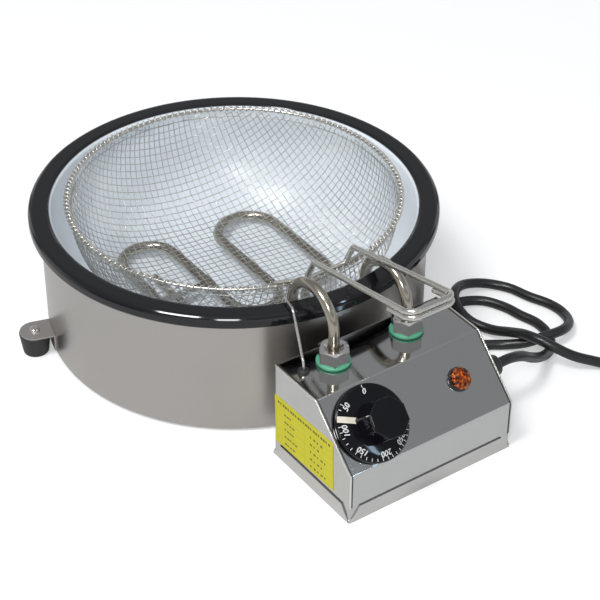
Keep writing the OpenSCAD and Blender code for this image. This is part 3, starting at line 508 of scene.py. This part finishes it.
# %% Cord tie
tie_wide, tie_high, tie_long, tie_wall = 10.2, 4.9, 7.0, 0.7
tie_turn = math.radians(20)
tie_middle = Vector((coil_x + coil_r * math.cos(tie_turn), coil_y + coil_r * math.sin(tie_turn), 5.0)) * mm
tie = bmesh.new()
bmesh.ops.create_circle(tie, cap_ends=False, segments=32, radius=1.0)
bmesh.ops.scale(tie, vec=Vector((tie_wide, tie_high, 1)) * mm, verts=tie.verts)
side = bmesh.ops.extrude_edge_only(tie, edges=tie.edges[:])
far_side = [v for v in side["geom"] if isinstance(v, bmesh.types.BMVert)]
bmesh.ops.translate(tie, vec=(0, 0, tie_long * mm), verts=far_side)
bmesh.ops.recalc_face_normals(tie, faces=tie.faces)
bmesh.ops.solidify(tie, geom=tie.faces[:], thickness=tie_wall * mm)
bmesh.ops.translate(tie, vec=(0, 0, -tie_long / 2 * mm), verts=tie.verts)
tie_place = (Matrix.Translation(tie_middle) @ Matrix.Rotation(tie_turn, 4, "Z")
             @ Matrix.Rotation(math.pi / 2, 4, "X"))
bmesh.ops.transform(tie, matrix=tie_place, verts=tie.verts)
piece("cord_tie", tie, "head", black_rubber)
print("tie at", tuple(tie_middle))

# %% [markdown]
# The dial, the lamp and the prints sit on the sloping panel. One matrix takes panel coordinates (across, up
# the slope, off the sheet) to the fryer's own frame, so every piece there is made flat and then placed.

# %% Panel frame
slope_angle = 43.67
slope_foot, slope_head = (-263.9, 42.8), (-219.8, 84.9)
dial_at, lamp_at = (-42.5, 29.7), (41.3, 32.6)
pointer_turn = 153.8
slope = math.radians(slope_angle)
panel = Matrix(((1, 0, 0, 0), (0, math.cos(slope), -math.sin(slope), slope_foot[0] * mm),
                (0, math.sin(slope), math.cos(slope), slope_foot[1] * mm), (0, 0, 0, 1)))
dial_place = panel @ Matrix.Translation(Vector((*dial_at, 0)) * mm)
lamp_place = panel @ Matrix.Translation(Vector((*lamp_at, 0)) * mm)
pointer = math.radians(pointer_turn)
print("dial at", tuple(dial_place.translation), "lamp at", tuple(lamp_place.translation))

# %% [markdown]
# The dial is one gloss moulding: a skirt that carries the scale, slightly coned so that a cook can read it
# from above, and a tall eight-sided grip whose nearest corner leans back from the pointer. The skirt is
# turned on a lathe profile. The grip is an octagon that is extruded, drawn in at the top and bevelled.

# %% Dial
cone_slope = 0.125
skirt_r, corner_r, corner_z = 29.6, 1.2, 3.6
grip_r, grip_foot, grip_rise = 17.2, 4.6, 20.6


def skirt_height(r):
    """Height of the skirt's face above the panel, in millimetres."""
    return 6.0 - 0.4 * r / 22 if r < 22 else 5.6 - cone_slope * (r - 22)


edge_round = [(28.4 + corner_r * math.cos(math.radians(a)), corner_z + corner_r * math.sin(math.radians(a)))
              for a in (0, 25, 50, 75)]
dial = lathe([(0, 1.4), (27, 1.4), (28, 1.2), (skirt_r, 1.2)] + edge_round
             + [(r, skirt_height(r)) for r in (26, 22, 0)], 96, Matrix.Identity(4))
grip = bmesh.new()
bmesh.ops.create_circle(grip, cap_ends=True, segments=8, radius=grip_r * mm)
bmesh.ops.translate(grip, vec=Vector((-1.8, 0, grip_foot)) * mm, verts=grip.verts)
raised = bmesh.ops.extrude_face_region(grip, geom=grip.faces[:])
top = [v for v in raised["geom"] if isinstance(v, bmesh.types.BMVert)]
bmesh.ops.translate(grip, vec=Vector((-1.6, 0, grip_rise)) * mm, verts=top)
bmesh.ops.scale(grip, vec=(0.94, 0.94, 1), verts=top, space=Matrix.Translation(Vector((3.4, 0, 0)) * mm))
bmesh.ops.recalc_face_normals(grip, faces=grip.faces)
bmesh.ops.bevel(grip, geom=grip.edges[:], offset=0.9 * mm, offset_type="OFFSET", segments=3, profile=0.5,
                affect="EDGES", material=-1)
bmesh.ops.rotate(grip, cent=(0, 0, 0), matrix=Matrix.Rotation(pointer, 3, "Z"), verts=grip.verts)
join(dial, grip)
bmesh.ops.transform(dial, matrix=dial_place, verts=dial.verts)
dial_piece = piece("dial_moulding", dial, "dial", gloss_black)
largest_smooth = 60 * mm * mm
for face in dial_piece.data.polygons:
    face.use_smooth = face.area < largest_smooth
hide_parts("dial_knob")
print("dial faces", len(dial_piece.data.polygons))

# %% [markdown]
# Printing helpers: a frame that stands on the skirt's cone, flat figures, which are text made a mesh before
# it is placed, and a flat bar for ticks and rules.

# %% Helpers for prints
cone = math.atan(cone_slope)


def on_skirt(turn, r, proud=0.05):
    """A frame on the skirt: X runs clockwise, Y outwards down the cone, Z off the face."""
    c, s = math.cos(math.radians(turn)), math.sin(math.radians(turn))
    across = Vector((s, -c, 0))
    outward = Vector((c * math.cos(cone), s * math.cos(cone), -math.sin(cone)))
    frame3 = Matrix((across, outward, across.cross(outward))).transposed().to_4x4()
    return dial_place @ Matrix.Translation(Vector((r * c, r * s, skirt_height(r) + proud)) * mm) @ frame3


def flat_text(words, size):
    curve = bpy.data.curves.new("figures", "FONT")
    curve.body, curve.size, curve.shear = words, size, 0.2
    curve.align_x, curve.align_y = "CENTER", "CENTER"
    curve.extrude, curve.offset, curve.resolution_u = 0.04 * mm, 0.12 * mm, 3
    holder = bpy.data.objects.new("figures", curve)
    bpy.context.collection.objects.link(holder)
    graph = bpy.context.evaluated_depsgraph_get()
    mesh = bpy.data.meshes.new_from_object(holder.evaluated_get(graph))
    bpy.data.objects.remove(holder)
    return mesh


def bar(long, wide, thick):
    """A flat printed bar, long in Y, centred."""
    bm = bmesh.new()
    bmesh.ops.create_cube(bm, size=1.0)
    bmesh.ops.scale(bm, vec=Vector((wide, long, thick)) * mm, verts=bm.verts)
    return bm


print("cone of the skirt:", round(math.degrees(cone), 2), "degrees")

# %% [markdown]
# The scale is printed on the cone: six numbers whose tops point outwards, a tick at each of them, four more
# in every gap but the first, and a short run after the last. The ones under the pointer's bar are left out.

# %% Dial scale
scale_turns = [82.7, 130.4, 174.4, 221.8, 268.5, 309.4]
last_run = [309.4, 318.5, 327.5, 336.5]
figure_size, figure_r, tick_r = 6.0, 23.6, 27.6

figures = bmesh.new()
for i, turn in enumerate(scale_turns):
    mesh = flat_text(str(50 * i), figure_size * mm)
    mesh.transform(on_skirt(turn, figure_r))
    figures.from_mesh(mesh)
    bpy.data.meshes.remove(mesh)
tick_turns = []
for i, turn in enumerate(scale_turns[1:]):
    step = (turn - scale_turns[i]) / 5
    tick_turns += [scale_turns[i] + step * k for k in range(5 if i else 1)]
tick_turns = [at for at in tick_turns if abs(at - math.degrees(pointer)) > 8] + last_run
for at in tick_turns:
    tick = bar(2.2, 0.5, 0.08)
    bmesh.ops.transform(tick, matrix=on_skirt(at, tick_r), verts=tick.verts)
    join(figures, tick)
piece("dial_figures", figures, "dial", print_white, smooth=False)
print("figures:", len(scale_turns), "ticks:", len(tick_turns))

# %% [markdown]
# The pointer is a cream bar that starts under the grip's corner and runs down the cone to the edge.

# %% Dial pointer
pointer_from, pointer_long, pointer_wide = 14.0, 15.0, 4.6
pointer_bar = bmesh.new()
bmesh.ops.create_grid(pointer_bar, x_segments=12, y_segments=2, size=0.5)
for vert in pointer_bar.verts:
    r, wide = pointer_from + pointer_long * (vert.co.x + 0.5), vert.co.y * pointer_wide
    vert.co = Vector((r, wide, skirt_height(r) + 0.12)) * mm
bmesh.ops.solidify(pointer_bar, geom=pointer_bar.faces[:], thickness=0.2 * mm)
bmesh.ops.recalc_face_normals(pointer_bar, faces=pointer_bar.faces)
bmesh.ops.transform(pointer_bar, matrix=dial_place @ Matrix.Rotation(pointer, 4, "Z"),
                    verts=pointer_bar.verts)
piece("dial_pointer", pointer_bar, "dial", pointer_cream)
print("pointer at", pointer_turn, "degrees")

# %% [markdown]
# The indicator lamp has a turned black bezel, which the CAD model gives, and a domed amber lens that stands
# over it. The dome is spun with few steps and flat faces, like the facets of the moulded jewel.

# %% Lamp lens
lens = lathe([(0, 1.4), (7.1, 1.4), (7.1, 2.7), (8.5, 2.8), (8.7, 3.4), (8.1, 4.9), (6.5, 6.3), (4.4, 7.1),
              (2.2, 7.6), (0, 7.7)], 16, lamp_place)
lens_piece = piece("lamp_jewel", lens, "head", amber, smooth=False)
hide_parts("lamp_lens")
print("lens faces", len(lens_piece.data.polygons))

# %% [markdown]
# The two green gaskets are soft rings that bulge between the fitting and the box. A rounded profile, spun
# once for each leg, gives that swollen edge.

# %% Gaskets
leg_sides = (-38, 30)
bore_r, swell_r, swell_z, bulge = 8.2, 11.8, 1.5, 1.48
gasket_low, gasket_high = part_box("element_gaskets")
gasket_y = (gasket_low[1] + gasket_high[1]) / 2
swell = [(swell_r + 1.5 * math.cos(math.radians(a)), swell_z + bulge * math.sin(math.radians(a)))
         for a in range(-90, 91, 20)]
gaskets = bmesh.new()
for leg_x in leg_sides:
    leg = Matrix.Translation((leg_x * mm, gasket_y, gasket_low[2]))
    join(gaskets, lathe([(bore_r, 0.02)] + swell + [(bore_r, 2.98)], 64, leg, ring=True))
gasket_piece = piece("gasket_rings", gaskets, "head", gasket_green)
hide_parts("element_gaskets")
print("gaskets at x", leg_sides, "mm")

# %% [markdown]
# The box's side sheets are folded over the middle one. A bead in a lighter steel follows each side's
# outline as a painted highlight on the fold, with a thin black line just inside it as painted shade in the
# fold, so both edges of the slope read as real joints.

# %% Box seams
top_back_y, front_foot_z = -169.0, 13.5
bead_x, shade_line_x = 75.3, 73.8
fold_round = 1.2


def box_outline(x, inset):
    """The box's profile at one side, from the back of its top to the foot of its front."""
    corners = [(top_back_y, slope_head[1] - inset), (slope_head[0] + 0.4 * inset, slope_head[1] - inset),
               (slope_foot[0] + inset, slope_foot[1] - 0.4 * inset), (slope_foot[0] + inset, front_foot_z)]
    points = [corners[0]]
    for before, corner, after in zip(corners, corners[1:], corners[2:]):
        a = Vector(corner) + (Vector(before) - Vector(corner)).normalized() * fold_round
        b = Vector(corner) + (Vector(after) - Vector(corner)).normalized() * fold_round
        points += [tuple(a), tuple((a + b + Vector(corner) * 0.6) / 2.6), tuple(b)]
    points.append(corners[-1])
    return [Vector((x, y, z)) * mm for y, z in points]


# painted highlight: the beads are drawn in a lighter steel than the box, so they read as the bright line
# along each fold
wire_piece("highlight_beads", [box_outline(-bead_x, 0.2), box_outline(bead_x, 0.2)], 1.5 * mm, "head",
           painted_highlight_steel, sides=10)
# painted shade: a thin black line just inside each bead stands for the shade in the fold at the joint
wire_piece("painted_fold_shade", [box_outline(-shade_line_x, -0.1), box_outline(shade_line_x, -0.1)], 0.8 * mm, "head",
           black_moulding, sides=8)
print("beads at x", bead_x, "mm, seams at", shade_line_x, "mm")

# %% [markdown]
# A yellow data plate is stuck on the box's left side, a little askew: a thin sheet with round corners. A
# flat grid is cut to size, its corners are bevelled as vertices, and solidify gives it its thickness.

# %% Data plate
plate_w, plate_h, plate_thick, plate_round = 74.0, 44.0, 0.22, 1.0
plate_middle, plate_askew = (-75.93, -206.4, 37.4), 2.2
plate_place = (Matrix.Translation(Vector(plate_middle) * mm)
               @ Matrix(((0, 0, -1, 0), (-1, 0, 0, 0), (0, 1, 0, 0), (0, 0, 0, 1)))
               @ Matrix.Rotation(math.radians(plate_askew), 4, "Z"))
plate = bmesh.new()
bmesh.ops.create_grid(plate, x_segments=1, y_segments=1, size=0.5)
bmesh.ops.scale(plate, vec=Vector((plate_w, plate_h, 1)) * mm, verts=plate.verts)
bmesh.ops.bevel(plate, geom=plate.verts[:], offset=plate_round * mm, offset_type="OFFSET", segments=3,
                profile=0.5, affect="VERTICES", material=-1)
bmesh.ops.solidify(plate, geom=plate.faces[:], thickness=-plate_thick * mm)
bmesh.ops.recalc_face_normals(plate, faces=plate.faces)
bmesh.ops.transform(plate, matrix=plate_place, verts=plate.verts)
piece("data_plate", plate, "head", plate_yellow)
print("data plate:", plate_w, "by", plate_h, "mm")

# %% [markdown]
# The plate stays without words: ruled lines make the table, and short plain bars stand where entries would
# be. A heading runs along the top, and five rows have a name on the left and a value on the right.

# %% Plate print
margin, rule_half = 1.2, 0.12
row_shares = (0.0, 0.19, 0.35, 0.51, 0.68, 0.84, 1.0)
column_x, heading_x, name_x, value_x = 1.0, -33, -25, 8
bars_in_row = [(3, 4), (4, 3), (4, 5), (5, 4), (4, 5)]


def print_bars(name, boxes, material):
    """Printed rectangles on the plate, each given as left, right, bottom, top in millimetres."""
    bm = bmesh.new()
    for x0, x1, y0, y1 in boxes:
        line = bar(abs(y1 - y0), abs(x1 - x0), 0.06)
        bmesh.ops.translate(line, vec=Vector(((x0 + x1) / 2, (y0 + y1) / 2, 0.25)) * mm, verts=line.verts)
        bmesh.ops.transform(line, matrix=plate_place, verts=line.verts)
        join(bm, line)
    piece(name, bm, "head", material, smooth=False)
    print(name, "bars:", len(boxes))


left, right = margin - plate_w / 2, plate_w / 2 - margin
rows = [plate_h / 2 - margin - (plate_h - 2 * margin) * share for share in row_shares]
rules = [(left, right, y - rule_half, y + rule_half) for y in rows]
rules += [(x - rule_half, x + rule_half, rows[-1], rows[0]) for x in (left, column_x, right)]
print_bars("plate_rules", rules, plate_rule)
entries = []
for k in range(21):
    x = heading_x + 3.2 * k
    entries.append((x, x + (2.2, 1.5, 2.5)[k % 3], rows[0] - 4.4, rows[0] - 2.2))
for i, (names, values) in enumerate(bars_in_row):
    y = (rows[i + 1] + rows[i + 2]) / 2
    for k in range(names):
        x = name_x + 3.4 * k
        entries.append((x, x + (2.4, 2.8, 1.9)[(i + k) % 3], y - 0.75, y + 0.75))
    for k in range(values):
        x = value_x + 4.4 * k
        entries.append((x, x + (1.6, 2.6)[(i + k) % 2], y - 0.9, y + 0.9))
print_bars("plate_entries", entries, plate_ink)

# %% [markdown]
# The basket is woven from round wire and pressed into a dish. Each wire is a line of the flat cloth, laid
# on the dish: the distance from the middle stays, so the squares lean over on the diagonals as they do in
# a real pressing. Over and under is a small push along the dish's normal.

# %% Dish of the basket
sheet_half = 0.6 * mm
mesh_low, mesh_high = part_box("basket_mesh")
dish_floor = 39.6 * mm + sheet_half
dish_r = (mesh_high[0] - mesh_low[0]) / 2 - sheet_half
dish_top = mesh_high[2]
arc_r = 71.9 * mm
flat_r = dish_r - arc_r
weave_turn = math.radians(-7.0)


def dish(s):
    """Radius, height and outward normal of the dish at the distance s from its middle."""
    if s < flat_r:
        return s, dish_floor, (0.0, -1.0)
    angle = (s - flat_r) / arc_r
    if angle < math.pi / 2:
        return (flat_r + arc_r * math.sin(angle), dish_floor + arc_r * (1 - math.cos(angle)),
                (math.sin(angle), -math.cos(angle)))
    return dish_r, dish_floor + arc_r + (s - flat_r - arc_r * math.pi / 2), (1.0, 0.0)


cloth_reach = flat_r + arc_r * math.pi / 2 + (dish_top - dish_floor - arc_r)
print("dish radius", round(dish_r, 4), "cloth from middle to edge", round(cloth_reach, 4))


def on_dish(u, v, push):
    """The point of the flat cloth at u, v, laid on the dish and pushed along its normal."""
    s = math.hypot(u, v)
    r, z, (nr, nz) = dish(s)
    turn = math.atan2(v, u) + weave_turn
    r += nr * push
    return Vector((r * math.cos(turn), r * math.sin(turn), z + nz * push))


# %% [markdown]
# Each wire of the cloth crosses the others over and under in turn. Two points for each crossing are enough,
# one where it is pushed out or in and one half way to the next, so the whole cloth stays light.

# %% Woven cloth
pitch, cloth_wire = 6.1 * mm, 0.74 * mm


def woven_wires(along_u):
    """The wires of one direction, each passing over and under the others in turn."""
    lines = []
    count = int(cloth_reach / pitch)
    for i in range(-count, count + 1):
        across = (i + 0.5) * pitch
        if abs(across) >= cloth_reach:
            continue
        half = math.sqrt(cloth_reach ** 2 - across ** 2)
        steps = int(half / pitch) + 1
        line = []
        for k in range(-steps * 2, steps * 2 + 1):
            at = (k / 2 + 0.5) * pitch
            if abs(at) > half:
                continue
            lift = 0.0 if k % 2 else (1 if (k // 2 + i) % 2 else -1) * cloth_wire * 0.5
            if not along_u:
                lift = -lift
            line.append(on_dish(at, across, lift) if along_u else on_dish(across, at, lift))
        if len(line) > 3:
            lines.append(line)
    return lines


warp = wire_piece("cloth_warp", woven_wires(True), cloth_wire, "basket", cloth_steel)
weft = wire_piece("cloth_weft", woven_wires(False), cloth_wire, "basket", cloth_steel)
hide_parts("basket_mesh")
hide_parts("basket_mesh")
print("wires each way:", len(warp.data.splines), len(weft.data.splines))

# %% [markdown]
# The cloth hangs from a wire hoop. Its cut ends are wound over that hoop, which gives the scalloped edge: a
# helix that follows the rim. A thinner hoop below keeps the fold closed.

# %% Hoops and wound edge
ring_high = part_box("basket_rings")[1]
hoop_r, hoop_z = ring_high[0] - 1.9 * mm, ring_high[2] - 1.7 * mm
loops, per_loop = 150, 8
wound_r, wound_high = 2.3 * mm, 2.2 * mm


def circle_line(r, z, count=160):
    return [Vector((r * math.cos(2 * math.pi * k / count), r * math.sin(2 * math.pi * k / count), z))
            for k in range(count)]


hoop = wire_piece("basket_hoop", [circle_line(hoop_r, hoop_z)], 2.4 * mm, "basket", wire_steel,
                  cyclic=True, sides=12)
lower = wire_piece("fold_hoop", [circle_line(hoop_r - 1.6 * mm, hoop_z - 6.5 * mm)], 0.9 * mm, "basket",
                   cloth_steel, cyclic=True, sides=8)
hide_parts("basket_rings")
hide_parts("basket_rings")
edge = []
for k in range(loops * per_loop):
    turn = 2 * math.pi * k / (loops * per_loop)
    small = 2 * math.pi * k / per_loop
    r = hoop_r - 0.1 * mm + wound_r * math.cos(small)
    z = hoop_z + 0.2 * mm + wound_high * math.sin(small)
    edge.append(Vector((r * math.cos(turn), r * math.sin(turn), z)))
# painted highlight: the wound edge is drawn in the lighter steel, so it reads as a bright line on the hoop
wire_piece("wound_edge", [edge], 1.15 * mm, "basket", painted_highlight_steel, cyclic=True)
print("hoop radius", round(hoop_r, 4), "height", round(hoop_z, 4), "loops", loops)

# %% [markdown]
# The floor is a plain white plane. It glows a little for the camera only, so that it looks whiter than what
# it throws back on the steel.

# %% Floor
floor_shade, floor_lift = 0.7, 0.34
bm = bmesh.new()
bmesh.ops.create_grid(bm, x_segments=1, y_segments=1, size=6.0)
mesh = bpy.data.meshes.new("floor")
bm.to_mesh(mesh)
bm.free()
floor = bpy.data.objects.new("floor", mesh)
bpy.context.collection.objects.link(floor)
floor_white = new_finish("floor_white", (floor_shade,) * 3, 0.9, Specular_IOR_Level=0.0,
                         Emission_Color=(1, 1, 1, 1))
tree = floor_white.node_tree
seen = add(tree, "ShaderNodeLightPath")
lift = add(tree, "ShaderNodeMath", operation="MULTIPLY")
lift.inputs[1].default_value = floor_lift
tree.links.new(seen.outputs["Is Camera Ray"], lift.inputs[0])
tree.links.new(lift.outputs[0], tree.nodes["Principled BSDF"].inputs["Emission Strength"])
floor.data.materials.append(floor_white)
print("floor shade", floor_shade, "lift", floor_lift)

# %% [markdown]
# The world is what the steel reflects: dark at the horizon, a bright band just above it, grey higher up and
# lighter again overhead. The camera itself sees plain white.

# %% World
sky_levels = ((0.0, 0.12), (0.08, 0.14), (0.13, 1.0), (0.24, 1.0), (0.33, 0.4), (0.5, 0.34), (0.8, 0.34),
              (0.95, 0.6))
world = bpy.data.worlds.new("studio")
bpy.context.scene.world = world
world.use_nodes = True
tree = world.node_tree
where = add(tree, "ShaderNodeTexCoord")
split = add(tree, "ShaderNodeSeparateXYZ")
sky = add(tree, "ShaderNodeValToRGB")
for position, level in sky_levels:
    stop = sky.color_ramp.elements.new(position)
    stop.color = (level * 0.97, level, level * 1.03, 1)
sky.color_ramp.elements.remove(sky.color_ramp.elements[0])
sky.color_ramp.elements.remove(sky.color_ramp.elements[-1])
seen = add(tree, "ShaderNodeLightPath")
choose = add(tree, "ShaderNodeMix", data_type="RGBA")
choose.inputs["B"].default_value = (1, 1, 1, 1)
link = tree.links.new
link(where.outputs["Generated"], split.inputs[0])
link(split.outputs["Z"], sky.inputs["Fac"])
link(seen.outputs["Is Camera Ray"], choose.inputs["Factor"])
link(sky.outputs["Color"], choose.inputs["A"])
link(choose.outputs["Result"], tree.nodes["Background"].inputs["Color"])
print("sky stops:", len(sky.color_ramp.elements))

# %% [markdown]
# Four lamps: a soft key and a soft sun from above on the left, a disk from the front left, and a narrow
# cool strip from the front right that is aimed at the control box.

# %% Lamps


def soft_light(name, at, size, power, toward=(0, -0.05, 0.05)):
    """A disk light at one point, turned to another, that the camera does not see."""
    data = bpy.data.lights.new(name, "AREA")
    data.shape, data.size, data.energy = "DISK", size, power
    lamp = bpy.data.objects.new(name, data)
    lamp.location = at
    lamp.rotation_euler = (Vector(toward) - Vector(at)).to_track_quat("-Z", "Y").to_euler()
    lamp.visible_camera = False
    bpy.context.collection.objects.link(lamp)
    return lamp


soft_light("key_light", (-1.1, -0.3, 1.95), 0.6, 15)
sun = soft_light("sun_light", (-1.0, -0.2, 2.2), 0.1, 1)
sun.data.type = "SUN"
sun.data.energy, sun.data.angle = 0.75, math.radians(14)
soft_light("front_light", (-1.0, -1.3, 1.5), 0.5, 12)
strip = soft_light("strip_light", (0.60, -1.38, 0.95), 0.05, 0.6, (-0.04, -0.24, 0.06))
strip.data.shape, strip.data.size_y = "RECTANGLE", 0.22
strip.data.color = (0.6, 0.8, 1.0)
print("lamps:", len(bpy.data.lights))
